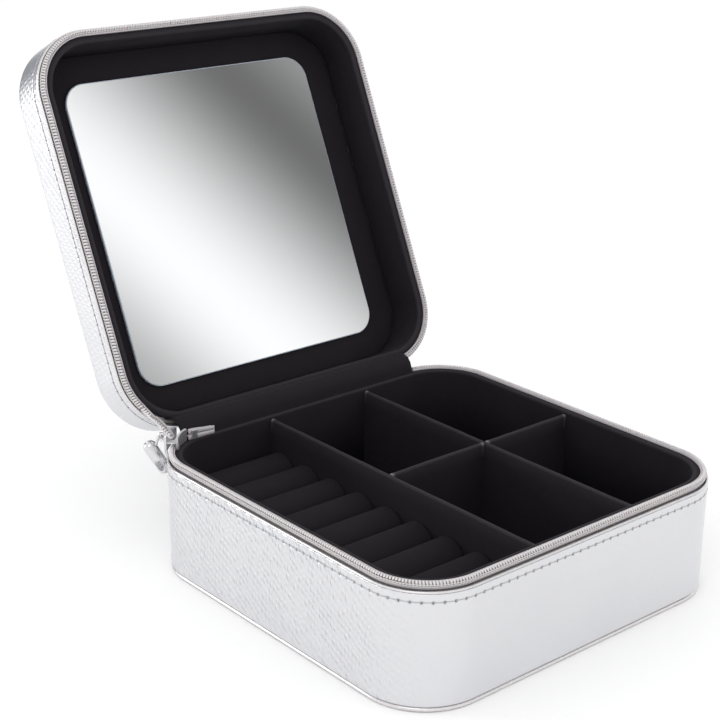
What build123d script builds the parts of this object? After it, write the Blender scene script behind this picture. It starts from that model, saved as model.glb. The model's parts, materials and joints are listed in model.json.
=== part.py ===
from build123d import *

import math
import os

os.makedirs("parts", exist_ok=True)

# Travel jewelry case: a square zip-around box with a hinged mirror lid, drawn open.
# Millimetres. Origin at the centre of the underside, +Z up, hinge along X at the back (+Y),
# the front at -Y. The lid is drawn closed and then turned open about the hinge.

# ---------------------------------------------------------------- driving dimensions
WIDTH = 160.0            # outside, left to right
DEPTH = 160.0            # outside, front to back
CORNER = 25.5            # outside radius of the upright corners
BASE_WALL_TOP = 44.4     # top edge of the base's outer cover
MIDDLE_Z = 50.1          # the plane of the hinge, where the two halves meet
LID_RIM = 55.0           # lower edge of the lid's cover, closed
LID_TOP = 75.4           # outer face of the lid, closed
OPEN_ANGLE = 114.3       # how far the lid stands open

COVER = 0.9              # faux leather
COVER_BACKED = 1.5       # faux leather with its wadding
BOARD = 2.2              # greyboard walls
LINING = 2.4             # velvet over card on the walls
SHEET_BOARD = 2.0        # greyboard floor
FLOOR_PAD = 2.0          # velvet over card on the floor
LID_EDGE_ROUND = 5.0     # rounding of the lid's outer edge

PIPING = 0.45            # radius of the piping beside the zip
FOOT_PIPING = 0.9        # radius of the piping round the bottom edge
TAPE = 0.5               # zip tape thickness
TAPE_BOTTOM = 39.0       # where the tape ends behind the cover
COIL_BOTTOM = 46.2
COIL_HEIGHT = 2.4        # half of the closed coil
COIL_DEPTH = 1.7
TAPE_STEP = 45.3         # here the tape turns in to pass behind the coil

DIVIDER = 2.0
RING_DIVIDER_X = -21.0
MIDDLE_DIVIDER_X = 28.5
CROSS_DIVIDER_Y = 2.5
DIVIDER_TOP = 46.0

ROLLS = 9
ROLL_RADIUS = 8.0
ROLL_TOP = 34.0

MIRROR_X = 121.0
MIRROR_Y = 125.0
MIRROR_CORNER = 9.7
GLASS = 1.2

# ---------------------------------------------------------------- worked-out dimensions
HINGE_Y = DEPTH / 2 + 0.4
HINGE = Axis((0, HINGE_Y, MIDDLE_Z), (1, 0, 0))

CORNER_X = -(WIDTH / 2 - CORNER)                 # centre of the rear left corner
CORNER_Y = DEPTH / 2 - CORNER

FLOOR_TOP = COVER + SHEET_BOARD
BOARD_IN = COVER_BACKED + BOARD                  # inset of the boards' inner face
LINING_IN = BOARD_IN + LINING                    # inset of the visible inner wall
LINING_TOP = 47.3
BOARD_TOP = 44.9
INSIDE_X = WIDTH / 2 - LINING_IN
INSIDE_Y = DEPTH / 2 - LINING_IN
PAD_TOP = FLOOR_TOP + FLOOR_PAD

COIL_TOP = COIL_BOTTOM + COIL_HEIGHT
COIL_IN = COVER + COIL_DEPTH                     # inset of the coil's inner side
TAPE_IN = COIL_IN + TAPE                         # inset of the tape's inner side, behind the coil
TAPE_TOP = COIL_TOP - 0.8
LINING_OUT = TAPE_IN + 0.05                      # inset of the lining's lip, beside the tape
ZIP_END_X = 58.0                                 # the zip stops here, just round each rear corner
LID_ZIP_START_X = -72.3                          # the lid's rigid stringer starts past the slider


def mirrored(z):
    """The same height on the lid, closed."""
    return 2 * MIDDLE_Z - z


# ---------------------------------------------------------------- shared builders
def slab(inset, low, high):
    """A rounded square block, inset from the outside of the case."""
    with BuildPart() as block:
        with BuildSketch(Plane.XY.offset(low)):
            RectangleRounded(WIDTH - 2 * inset, DEPTH - 2 * inset, CORNER - inset)
        extrude(amount=high - low)
    return block.part


def wall(outer, inner, low, high):
    """A rounded square wall between two insets."""
    with BuildPart() as ring:
        add(slab(outer, low, high))
        add(slab(inner, low, high), mode=Mode.SUBTRACT)
    return ring.part


def piping(radius, height):
    """A round cord along the outline, its outside flush with the case's side."""
    with BuildSketch(Plane.XY.offset(height)) as outline:
        RectangleRounded(WIDTH - 2 * radius, DEPTH - 2 * radius, CORNER - radius)
    path = outline.sketch.face().outer_wire()
    with BuildPart() as cord:
        with BuildSketch(Plane(origin=path @ 0, z_dir=path % 0)):
            Circle(radius)
        sweep(path=path)
    return cord.part


def back_cut(left, right):
    """The block that opens a zip's loop along the hinge."""
    with BuildPart() as block:
        with BuildSketch(Plane.XY):
            with Locations(((left + right) / 2, DEPTH / 2)):
                Rectangle(right - left, 40)
        extrude(amount=2 * MIDDLE_Z)
    return block.part


def box(x, y, z):
    """A block from three (low, high) pairs."""
    with BuildPart() as block:
        with BuildSketch(Plane.XY.offset(z[0])):
            with Locations(((x[0] + x[1]) / 2, (y[0] + y[1]) / 2)):
                Rectangle(x[1] - x[0], y[1] - y[0])
        extrude(amount=z[1] - z[0])
    return block.part


def keep(piece, node):
    """Label and write a sub-part of the base, the slider or the pull."""
    piece.part.label = node
    export_step(piece.part, f"parts/{node}.step")


def keep_on_lid(piece, node):
    """Turn a sub-part that was drawn with the lid closed, then label and write it."""
    opened = piece.part.rotate(HINGE, -OPEN_ANGLE)
    opened.label = node
    export_step(opened, f"parts/{node}.step")


# ================================================================ base: outside
with BuildPart() as base_bottom_cover:
    add(slab(2 * FOOT_PIPING, 0, COVER))
keep(base_bottom_cover, "base_bottom_cover")

with BuildPart() as base_bottom_piping:
    add(piping(FOOT_PIPING, FOOT_PIPING + 0.1))
keep(base_bottom_piping, "base_bottom_piping")

with BuildPart() as base_floor_board:
    add(slab(2 * FOOT_PIPING, COVER, FLOOR_TOP))
keep(base_floor_board, "base_floor_board")

with BuildPart() as base_wall_board:
    add(wall(COVER_BACKED, BOARD_IN, FLOOR_TOP, BOARD_TOP))
keep(base_wall_board, "base_wall_board")

with BuildPart() as base_side_cover:
    add(wall(0, COVER_BACKED, 2 * FOOT_PIPING + 0.1, TAPE_BOTTOM))
    add(wall(0, COVER, TAPE_BOTTOM, BASE_WALL_TOP))
keep(base_side_cover, "base_side_cover")

with BuildPart() as base_top_piping:
    add(piping(PIPING, BASE_WALL_TOP + PIPING))
    add(back_cut(-ZIP_END_X, ZIP_END_X), mode=Mode.SUBTRACT)
keep(base_top_piping, "base_top_piping")

# ---------------------------------------------------------------- base: its half of the zip
with BuildPart() as base_zip_tape:
    add(wall(COVER, COVER + TAPE, TAPE_BOTTOM, TAPE_STEP))
    add(wall(COVER, TAPE_IN, TAPE_STEP, TAPE_STEP + TAPE))
    add(wall(COIL_IN, TAPE_IN, TAPE_STEP + TAPE, TAPE_TOP))
    add(back_cut(-ZIP_END_X, ZIP_END_X), mode=Mode.SUBTRACT)
keep(base_zip_tape, "base_zip_tape")

with BuildPart() as base_zip_coil:
    add(wall(COVER, COIL_IN, COIL_BOTTOM, COIL_TOP))
    add(back_cut(-ZIP_END_X, ZIP_END_X), mode=Mode.SUBTRACT)
keep(base_zip_coil, "base_zip_coil")

# The joined end of the zip, tucked inside along the hinge, with its metal stop.
TAIL_X = (-61.9, -48.0)
TAIL_Y = (73.9, 75.4)
TAIL_TOP = 52.0
BOTTOM_STOP_X = (-60.6, -58.2)
BOTTOM_STOP_Y = (TAIL_Y[0] - 0.7, TAIL_Y[0])
BOTTOM_STOP_Z = (47.9, 51.4)
with BuildPart() as zip_tail:
    add(box(TAIL_X, TAIL_Y, (LINING_TOP, TAIL_TOP)))
keep(zip_tail, "zip_tail")

with BuildPart() as zip_bottom_stop:
    add(box(BOTTOM_STOP_X, BOTTOM_STOP_Y, BOTTOM_STOP_Z))
keep(zip_bottom_stop, "zip_bottom_stop")

STOP_PLACE = (57.0, DEPTH / 2 - COVER - COIL_DEPTH / 2)
STOP_SIZE = (1.8, 2.2)
STOP_TURN = -6.0
STOP_HEIGHT = 2.8


def top_stop(low):
    """The small crimp at the right-hand end of one coil."""
    with BuildPart() as crimp:
        with BuildSketch(Plane.XY.offset(low)):
            with Locations(STOP_PLACE):
                Rectangle(*STOP_SIZE, rotation=STOP_TURN)
        extrude(amount=STOP_HEIGHT)
        fillet(crimp.edges().filter_by(Axis.Z), radius=0.4)
    return crimp.part


with BuildPart() as zip_top_stop_base:
    add(top_stop(COIL_BOTTOM - 0.2))
keep(zip_top_stop_base, "zip_top_stop_base")

# ---------------------------------------------------------------- base: hinge strips, lower halves
SPINE_X = (-54.0, 54.0)
SPINE_Y = (DEPTH / 2 - COVER, DEPTH / 2)
HINGE_LINING_X = (-55.5, 55.5)
HINGE_LINING_Y = (76.0, 77.0)

with BuildPart() as base_spine:
    add(box(SPINE_X, SPINE_Y, (BASE_WALL_TOP, MIDDLE_Z - 0.4)))
keep(base_spine, "base_spine")

with BuildPart() as base_hinge_lining:
    add(box(HINGE_LINING_X, HINGE_LINING_Y, (LINING_TOP, MIDDLE_Z - 0.3)))
keep(base_hinge_lining, "base_hinge_lining")

# ================================================================ base: inside
with BuildPart() as base_wall_lining:
    add(wall(BOARD_IN, LINING_IN, FLOOR_TOP, BOARD_TOP))
    add(wall(LINING_OUT, LINING_IN, BOARD_TOP, LINING_TOP))
keep(base_wall_lining, "base_wall_lining")

with BuildPart() as base_floor_pad:
    add(slab(LINING_IN, FLOOR_TOP, PAD_TOP))
keep(base_floor_pad, "base_floor_pad")

HALF = DIVIDER / 2
LAP_Z = (PAD_TOP + DIVIDER_TOP) / 2
BAY_RIGHT = RING_DIVIDER_X - HALF

with BuildPart() as divider_ring_bay:
    add(box((BAY_RIGHT, RING_DIVIDER_X + HALF), (-INSIDE_Y, INSIDE_Y), (PAD_TOP, DIVIDER_TOP)))
keep(divider_ring_bay, "divider_ring_bay")

CROSSING = ((MIDDLE_DIVIDER_X - HALF, MIDDLE_DIVIDER_X + HALF),
            (CROSS_DIVIDER_Y - HALF, CROSS_DIVIDER_Y + HALF))

with BuildPart() as divider_middle:
    add(box(CROSSING[0], (-INSIDE_Y, INSIDE_Y), (PAD_TOP, DIVIDER_TOP)))
    add(box(*CROSSING, (LAP_Z, DIVIDER_TOP)), mode=Mode.SUBTRACT)
keep(divider_middle, "divider_middle")

with BuildPart() as divider_cross:
    add(box((RING_DIVIDER_X + HALF, INSIDE_X), CROSSING[1], (PAD_TOP, DIVIDER_TOP)))
    add(box(*CROSSING, (PAD_TOP, LAP_Z)), mode=Mode.SUBTRACT)
keep(divider_cross, "divider_cross")

# ---------------------------------------------------------------- ring rolls on their bed
ROLL_AXIS_Z = ROLL_TOP - ROLL_RADIUS
ROLL_PITCH = 2 * INSIDE_Y / ROLLS
BED_TOP = ROLL_TOP - 2 * ROLL_RADIUS - 0.2
BAY_CLEAR = 0.3


def ring_bay(low, high):
    """The space left of the long divider, inside the lining, with a little clearance."""
    with BuildPart() as bay:
        add(slab(LINING_IN + BAY_CLEAR, low, high))
        add(box((BAY_RIGHT - BAY_CLEAR, WIDTH), (-DEPTH, DEPTH), (low, high)), mode=Mode.SUBTRACT)
    return bay.part


with BuildPart() as ring_bed:
    add(ring_bay(PAD_TOP, BED_TOP))
keep(ring_bed, "ring_bed")

for number in range(ROLLS):
    roll_y = INSIDE_Y - (number + 0.5) * ROLL_PITCH
    with BuildPart() as ring_roll:
        with BuildSketch(Plane.YZ.offset(-INSIDE_X)):
            with Locations((roll_y, ROLL_AXIS_Z)):
                Circle(ROLL_RADIUS)
        extrude(amount=INSIDE_X + BAY_RIGHT)
        add(ring_bay(BED_TOP, DIVIDER_TOP), mode=Mode.INTERSECT)
    keep(ring_roll, f"ring_roll_{number + 1}")

# ================================================================ lid, drawn closed
LID_COVER_IN = LID_TOP - COVER                   # inner face of the lid's top cover
LID_FOAM = 0.7
LID_BOARD = 1.4
LID_PANEL = 0.7
MIRROR_PAD = 0.3
LID_BOARD_TOP = LID_COVER_IN - LID_FOAM
LID_PANEL_TOP = LID_BOARD_TOP - LID_BOARD
LID_PANEL_FACE = LID_PANEL_TOP - LID_PANEL
GLASS_BACK = LID_PANEL_FACE - MIRROR_PAD
LID_WALL_TOP = LID_COVER_IN - 3.5

with BuildPart() as lid_inner_space:
    add(slab(COVER_BACKED, mirrored(TAPE_BOTTOM), LID_COVER_IN))
    fillet(lid_inner_space.faces().sort_by(Axis.Z)[-1].edges(), radius=LID_EDGE_ROUND - COVER_BACKED)
    add(slab(COVER, LID_RIM, mirrored(TAPE_BOTTOM)))

with BuildPart() as lid_cover:
    add(slab(0, LID_RIM, LID_TOP))
    fillet(lid_cover.faces().sort_by(Axis.Z)[-1].edges(), radius=LID_EDGE_ROUND)
    add(lid_inner_space.part, mode=Mode.SUBTRACT)
keep_on_lid(lid_cover, "lid_cover")

with BuildPart() as lid_foam_pad:
    add(slab(LID_EDGE_ROUND, LID_BOARD_TOP, LID_COVER_IN))
keep_on_lid(lid_foam_pad, "lid_foam_pad")

with BuildPart() as lid_top_board:
    add(slab(BOARD_IN, LID_PANEL_TOP, LID_BOARD_TOP))
keep_on_lid(lid_top_board, "lid_top_board")

with BuildPart() as lid_wall_board:
    add(wall(COVER_BACKED, BOARD_IN, mirrored(BOARD_TOP), LID_WALL_TOP))
keep_on_lid(lid_wall_board, "lid_wall_board")

with BuildPart() as lid_rim_piping:
    add(piping(PIPING, LID_RIM - PIPING))
    add(back_cut(-ZIP_END_X, ZIP_END_X), mode=Mode.SUBTRACT)
keep_on_lid(lid_rim_piping, "lid_rim_piping")

with BuildPart() as lid_zip_tape:
    add(wall(COVER, COVER + TAPE, mirrored(TAPE_STEP), mirrored(TAPE_BOTTOM)))
    add(wall(COVER, TAPE_IN, mirrored(TAPE_STEP + TAPE), mirrored(TAPE_STEP)))
    add(wall(COIL_IN, TAPE_IN, mirrored(TAPE_TOP), mirrored(TAPE_STEP + TAPE)))
    add(back_cut(LID_ZIP_START_X, ZIP_END_X), mode=Mode.SUBTRACT)
keep_on_lid(lid_zip_tape, "lid_zip_tape")

with BuildPart() as lid_zip_coil:
    add(wall(COVER, COIL_IN, mirrored(COIL_TOP), mirrored(COIL_BOTTOM)))
    add(back_cut(LID_ZIP_START_X, ZIP_END_X), mode=Mode.SUBTRACT)
keep_on_lid(lid_zip_coil, "lid_zip_coil")

with BuildPart() as zip_top_stop_lid:
    add(top_stop(mirrored(COIL_BOTTOM - 0.2) - STOP_HEIGHT))
keep_on_lid(zip_top_stop_lid, "zip_top_stop_lid")

with BuildPart() as lid_spine:
    add(box(SPINE_X, SPINE_Y, (MIDDLE_Z + 0.4, LID_RIM)))
keep_on_lid(lid_spine, "lid_spine")

with BuildPart() as lid_hinge_lining:
    add(box(HINGE_LINING_X, HINGE_LINING_Y, (MIDDLE_Z + 0.3, mirrored(LINING_TOP))))
keep_on_lid(lid_hinge_lining, "lid_hinge_lining")

with BuildPart() as lid_wall_lining:
    add(wall(LINING_OUT, LINING_IN, mirrored(LINING_TOP), mirrored(BOARD_TOP)))
    add(wall(BOARD_IN, LINING_IN, mirrored(BOARD_TOP), LID_PANEL_FACE))
keep_on_lid(lid_wall_lining, "lid_wall_lining")

with BuildPart() as lid_panel:
    add(slab(BOARD_IN, LID_PANEL_FACE, LID_PANEL_TOP))
keep_on_lid(lid_panel, "lid_panel")

with BuildPart() as mirror_pad:
    with BuildSketch(Plane.XY.offset(GLASS_BACK)):
        RectangleRounded(MIRROR_X - 8, MIRROR_Y - 8, MIRROR_CORNER - 4)
    extrude(amount=MIRROR_PAD)
keep_on_lid(mirror_pad, "mirror_pad")

with BuildPart() as mirror_glass:
    with BuildSketch(Plane.XY.offset(GLASS_BACK - GLASS)):
        RectangleRounded(MIRROR_X, MIRROR_Y, MIRROR_CORNER)
    extrude(amount=GLASS)
keep_on_lid(mirror_glass, "mirror_glass")

# ================================================================ slider, parked at the rear left corner
SLIDER_ANGLE = 126.0       # seen from above, from +X, about the corner's centre
SLIDER_HALF = 13.0         # half its length, in degrees round the corner
PLATE = 0.9
PLATE_IN = CORNER + 0.2    # inner face of the outer plate, as a radius about the corner's centre
PLATE_OUT = PLATE_IN + PLATE
BACK_PLATE_OUT = CORNER - 3.5
BACK_PLATE_IN = BACK_PLATE_OUT - PLATE
PLATE_REACH = 3.45         # outer plate, up and down from the middle plane
BACK_REACH = 2.5           # back plate, which stays clear of both linings
POST = 0.6                 # thickness of the post between the two coils

turn = math.radians(SLIDER_ANGLE)
OUTWARD = Vector(math.cos(turn), math.sin(turn), 0)
ONWARD = Vector(-math.sin(turn), math.cos(turn), 0)
UP = Vector(0, 0, 1)


def arc_plate(inner, outer, start, end, low, high):
    """A piece of a round wall about the corner's centre."""
    reach = 2 * outer
    with BuildPart() as plate:
        with BuildSketch(Plane(origin=(CORNER_X, CORNER_Y, low))):
            Circle(outer)
            Circle(inner, mode=Mode.SUBTRACT)
            with BuildLine():
                Polyline(
                    (0, 0),
                    (reach * math.cos(math.radians(start)), reach * math.sin(math.radians(start))),
                    (reach * math.cos(math.radians(end)), reach * math.sin(math.radians(end))),
                    close=True,
                )
            make_face(mode=Mode.INTERSECT)
        extrude(amount=high - low)
    return plate.part


with BuildPart() as slider_body:
    first = SLIDER_ANGLE - SLIDER_HALF
    last = SLIDER_ANGLE + SLIDER_HALF
    low_edge = MIDDLE_Z - PLATE_REACH
    high_edge = MIDDLE_Z + PLATE_REACH
    add(arc_plate(PLATE_IN, PLATE_OUT, first, last, low_edge, high_edge))
    add(arc_plate(BACK_PLATE_IN, BACK_PLATE_OUT, first, last, MIDDLE_Z - BACK_REACH, MIDDLE_Z + BACK_REACH))
    # both plates are wide at the leading end and narrow behind
    with BuildSketch(Plane(origin=(CORNER_X, CORNER_Y, MIDDLE_Z), x_dir=ONWARD, z_dir=OUTWARD)) as shield:
        with BuildLine():
            Polyline(
                (-6.2, -2.2), (-6.2, 2.2), (0.6, PLATE_REACH), (5.0, PLATE_REACH), (6.2, 1.9),
                (6.2, -1.9), (5.0, -PLATE_REACH), (0.6, -PLATE_REACH), close=True,
            )
        make_face()
        fillet(shield.vertices(), radius=1.0)
    extrude(amount=40, mode=Mode.INTERSECT)
    # the post that parts the two coils
    add(arc_plate(BACK_PLATE_IN + PLATE / 2, PLATE_IN + PLATE / 2, SLIDER_ANGLE + 5, SLIDER_ANGLE + 11.5,
                  MIDDLE_Z - POST / 2, MIDDLE_Z + POST / 2))
    # the crown that carries the pull, an arch along the zip
    CROWN_IN = CORNER + 3.05
    CROWN_OUT = CORNER + 3.85
    CROWN_WIDTH = 1.2
    CROWN_FOOT = PLATE_OUT - 0.4
    with BuildSketch(Plane(origin=(CORNER_X, CORNER_Y, MIDDLE_Z - CROWN_WIDTH / 2), x_dir=OUTWARD, z_dir=UP)):
        with BuildLine():
            Polyline(
                (CROWN_FOOT, -4.0), (CROWN_OUT - 0.9, -3.1), (CROWN_OUT, -2.2), (CROWN_OUT, 2.2),
                (CROWN_OUT - 0.9, 3.1), (CROWN_FOOT, 4.0), (CROWN_FOOT, 2.9), (CROWN_IN - 0.6, 2.3),
                (CROWN_IN, 1.7), (CROWN_IN, -1.7), (CROWN_IN - 0.6, -2.3), (CROWN_FOOT, -2.9), close=True,
            )
        make_face()
    extrude(amount=CROWN_WIDTH)
keep(slider_body, "slider_body")

# ================================================================ pull, hanging from the crown
WIRE = 0.6
CROWN_MIDDLE = (CROWN_IN + CROWN_OUT) / 2
BOW = 1.5                  # radius of the wire's bend over the crown
BARREL_RADIUS = 2.7
BARREL_LENGTH = 14.6
BARREL_RADIAL = CORNER + 5.75
BARREL_Z = 41.6
BARREL_LEAN = 34.8         # from upright, its upper end outward

pull_plane = Plane(origin=(CORNER_X, CORNER_Y, 0), x_dir=OUTWARD, z_dir=-ONWARD)
lean = math.radians(BARREL_LEAN)
axis_out = math.sin(lean)
axis_up = math.cos(lean)


def on_barrel(along, beside=0.0):
    """A point of the pull's plane, from the barrel's centre, along and square to its axis."""
    return (BARREL_RADIAL + along * axis_out - beside * axis_up, BARREL_Z + along * axis_up + beside * axis_out)


def pull_wire_line():
    """The wire's centre line, from its lower foot over the crown to its upper foot."""
    with BuildLine(pull_plane) as line:
        FilletPolyline(
            on_barrel(-3.2), on_barrel(-3.3, 3.7), (CROWN_MIDDLE - BOW, 44.0), (CROWN_MIDDLE - BOW, MIDDLE_Z),
            radius=0.9,
        )
        ThreePointArc(
            (CROWN_MIDDLE - BOW, MIDDLE_Z), (CROWN_MIDDLE, MIDDLE_Z + BOW), (CROWN_MIDDLE + BOW, MIDDLE_Z)
        )
        FilletPolyline(
            (CROWN_MIDDLE + BOW, MIDDLE_Z), on_barrel(4.6, 2.9), on_barrel(2.4), radius=1.2,
        )
    return line.line


wire_path = pull_wire_line()
with BuildPart() as pull_wire:
    with BuildSketch(Plane(origin=wire_path @ 0, z_dir=wire_path % 0)):
        Circle(WIRE)
    sweep(path=wire_path)
keep(pull_wire, "pull_wire")

barrel_axis = OUTWARD * axis_out + UP * axis_up
barrel_middle = Vector(CORNER_X, CORNER_Y, 0) + OUTWARD * BARREL_RADIAL + UP * BARREL_Z
with BuildPart() as pull_barrel:
    with BuildSketch(Plane(origin=barrel_middle - barrel_axis * (BARREL_LENGTH / 2), z_dir=barrel_axis)):
        Circle(BARREL_RADIUS)
    extrude(amount=BARREL_LENGTH)
    fillet(pull_barrel.edges().filter_by(GeomType.CIRCLE), radius=BARREL_RADIUS - 0.3)
    with BuildSketch(pull_plane):
        with Locations(on_barrel(-3.0)):
            SlotOverall(4.6, 2.6, rotation=90 - BARREL_LEAN)
    extrude(amount=2 * BARREL_RADIUS, both=True, mode=Mode.SUBTRACT)
    add(pull_wire.part, mode=Mode.SUBTRACT)
keep(pull_barrel, "pull_barrel")
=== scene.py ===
"""Travel jewelry case, standing open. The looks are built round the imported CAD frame, in metres."""

import json
import math

import bmesh
import bpy
import numpy as np
from mathutils import Matrix, Vector, noise


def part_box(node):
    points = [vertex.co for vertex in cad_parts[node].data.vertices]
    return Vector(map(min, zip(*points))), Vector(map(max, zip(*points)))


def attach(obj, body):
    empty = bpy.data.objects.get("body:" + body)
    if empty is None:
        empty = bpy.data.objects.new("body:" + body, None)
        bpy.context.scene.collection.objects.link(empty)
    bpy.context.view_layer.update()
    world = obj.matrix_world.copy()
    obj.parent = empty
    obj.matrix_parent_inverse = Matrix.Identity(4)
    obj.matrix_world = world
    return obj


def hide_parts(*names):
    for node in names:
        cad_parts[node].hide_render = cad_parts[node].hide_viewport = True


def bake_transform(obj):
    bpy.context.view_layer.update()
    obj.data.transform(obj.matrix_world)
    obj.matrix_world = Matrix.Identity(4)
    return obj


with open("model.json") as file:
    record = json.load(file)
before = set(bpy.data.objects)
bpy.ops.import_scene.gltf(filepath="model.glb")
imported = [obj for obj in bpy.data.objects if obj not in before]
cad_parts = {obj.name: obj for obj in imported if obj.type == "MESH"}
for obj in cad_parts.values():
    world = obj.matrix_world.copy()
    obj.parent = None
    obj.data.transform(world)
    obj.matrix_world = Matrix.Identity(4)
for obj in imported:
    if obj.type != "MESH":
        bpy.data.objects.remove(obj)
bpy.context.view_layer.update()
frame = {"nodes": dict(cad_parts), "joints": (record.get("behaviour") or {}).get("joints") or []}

MM = 0.001

# ================================================================ sizes that come from the frame
joints = {joint["name"]: joint for joint in frame["joints"]}
HINGE = Vector(joints["lid_hinge"]["pos_m"])
OPEN_ANGLE = math.radians(joints["lid_hinge"]["range_deg"][1])
CORNER_AXIS = Vector(joints["slider_round_corner"]["pos_m"])
OPENED = Matrix.Translation(HINGE) @ Matrix.Rotation(-OPEN_ANGLE, 4, "X") @ Matrix.Translation(-HINGE)
MIDDLE = HINGE.z                         # height midway between the base's zip and the closed lid's


def closed_box(node):
    """The box of a lid node as it is when the lid is closed."""
    shut = OPENED.inverted()
    points = np.array([shut @ vertex.co for vertex in frame["nodes"][node].data.vertices])
    return Vector(points.min(axis=0)), Vector(points.max(axis=0))


def mirrored(height):
    """A height above the base, for the lid when it is closed, and the other way round."""
    return 2 * MIDDLE - height


wall_low, wall_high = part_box("base_side_cover")
foot_low, foot_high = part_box("base_bottom_piping")
coil_low, coil_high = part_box("base_zip_coil")
bead_low, bead_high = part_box("base_top_piping")
pad_low, pad_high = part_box("base_floor_pad")
lid_low, lid_high = closed_box("lid_cover")
lid_bead_low, lid_bead_high = closed_box("lid_rim_piping")
panel_low, panel_high = closed_box("lid_panel")
glass_low, glass_high = closed_box("mirror_glass")

HALF = wall_high.x                       # half the outside width, and half the depth
CORNER = HALF + CORNER_AXIS.x            # radius of the upright corners
STRAIGHT = HALF - CORNER                 # half the straight length of each side
INSIDE = pad_high.x                      # half the inside width
FLOOR_TOP = pad_high.z
WALL_TOP = wall_high.z
LID_RIM = lid_low.z
LID_TOP = lid_high.z
LINING_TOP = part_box("base_wall_lining")[1].z
TAPE_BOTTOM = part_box("base_zip_tape")[0].z
COIL_TOP = coil_high.z
COIL_BOTTOM = coil_low.z
SKIN = 0.9 * MM                          # thickness of the faux leather
TAPE = 0.45 * MM                         # thickness of the tape at the tail
LINING_IN = HALF - INSIDE                # inset of the visible inner wall
LINING_OUT = 3.15 * MM                   # inset of the lining's lip beside the zip
COIL_OUT = SKIN                          # inset of the coil's outer face
COIL_IN = SKIN + 1.7 * MM                # inset of the coil's inner face
FULL_TURN = 2 * math.pi


# ================================================================ outlines and tracks
def outline(half_x, half_y, radius):
    """A rounded rectangle. Returns its length and a function from distance and inset to x, y and turn.
    It starts at the middle of the back and runs round by the left."""
    reach_x, reach_y = half_x - radius, half_y - radius
    arc = math.pi / 2 * radius
    knots = np.cumsum([0, reach_x, arc, 2 * reach_y, arc, 2 * reach_x, arc, 2 * reach_y, arc, reach_x])
    turns = np.radians([90, 90, 180, 180, 270, 270, 360, 360, 450, 450])
    knot_x = reach_x * np.array([0, -1, -1, -1, -1, 1, 1, 1, 1, 0])
    knot_y = reach_y * np.array([1, 1, 1, -1, -1, -1, -1, 1, 1, 1])

    def at(distance, inset=0.0):
        turn = np.interp(distance, knots, turns)
        x = np.interp(distance, knots, knot_x) + (radius - inset) * np.cos(turn)
        y = np.interp(distance, knots, knot_y) + (radius - inset) * np.sin(turn)
        return x, y, turn

    return knots[-1], at


AROUND, case_at = outline(HALF, HALF, CORNER)


def distance_at_turn(degrees):
    """Distance along the case's outline of a direction in its rear left corner."""
    return STRAIGHT + math.radians(degrees - 90) * CORNER


def distance_at_back(x):
    """Distance along the outline of a place on the back, left of the middle if x is negative."""
    along = STRAIGHT + CORNER * math.asin((abs(x) - STRAIGHT) / CORNER)
    return (along if x < 0 else -along) % AROUND


def base_track(distance):
    """Origin, outward and upward directions at each distance along the base's outline."""
    x, y, turn = case_at(distance)
    return points_at(x, y, 0.0), points_at(np.cos(turn), np.sin(turn), 0.0), points_at(0 * x, 0.0, 1.0)


def closed_lid_track(distance):
    """The same for the closed lid. Heights are those of its mirror image on the base."""
    origin, outward, upward = base_track(distance)
    origin[..., 2] = 2 * MIDDLE
    return origin, outward, -upward


def lid_track(distance):
    """The same for the lid as it stands open."""
    origin, outward, upward = closed_lid_track(distance)
    return opened(origin), turned(outward), turned(upward)


def opened(points):
    """Points drawn with the lid closed, where they are when it stands open."""
    return turned(points) + np.array(OPENED)[:3, 3]


def turned(directions):
    """Directions on the closed lid, as they are when it stands open."""
    return directions @ np.array(OPENED)[:3, :3].T


def placed(track, distance, inset, height):
    """Points of a track, from arrays of distance, inset and height."""
    distance, inset, height = np.broadcast_arrays(distance, inset, height)
    origin, outward, upward = track(distance)
    return origin - outward * inset[..., None] + upward * height[..., None]


def soft_line(corners, steps=4):
    """A closed line through (x, y, radius) corners in millimetres, each rounded to its radius."""
    points = []
    for i, (x, y, radius) in enumerate(corners):
        here = Vector((x, y))
        before = Vector(corners[i - 1][:2])
        after = Vector(corners[(i + 1) % len(corners)][:2])
        if radius == 0:
            points.append(here)
            continue
        start = here + (before - here).normalized() * radius
        end = here + (after - here).normalized() * radius
        for t in np.arange(steps + 1) / steps:
            points.append(start * (1 - t) ** 2 + here * (2 * t * (1 - t)) + end * t * t)
    return np.array(points) * MM


def smooth(t):
    """0 below 0, 1 above 1, and an even S between."""
    t = np.clip(t, 0, 1)
    return t * t * (3 - 2 * t)


def waves(x, y, size):
    """Smooth uneven values, about -1 to 1, that repeat nowhere, for arrays of places."""
    x, y = np.broadcast_arrays(x, y)
    flat = [noise.noise(Vector((a / size, b / size, 0.37))) for a, b in zip(x.ravel(), y.ravel())]
    return np.array(flat).reshape(x.shape)


def lengths(points):
    """Distance along a line of points, starting at 0."""
    steps = np.linalg.norm(np.diff(points, axis=0), axis=-1)
    return np.concatenate([[0], np.cumsum(steps)])


def points_at(x, y, z):
    """Points from arrays or single values of their x, y and z."""
    return np.stack(np.broadcast_arrays(x, y, z), axis=-1)


def closed(line):
    """A line with its first point again at its end."""
    return np.concatenate([line, line[:1]])


# ================================================================ meshes
def linked(name, mesh):
    """An object of a mesh, in the scene."""
    made = bpy.data.objects.new(name, mesh)
    bpy.context.scene.collection.objects.link(made)
    return made


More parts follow.
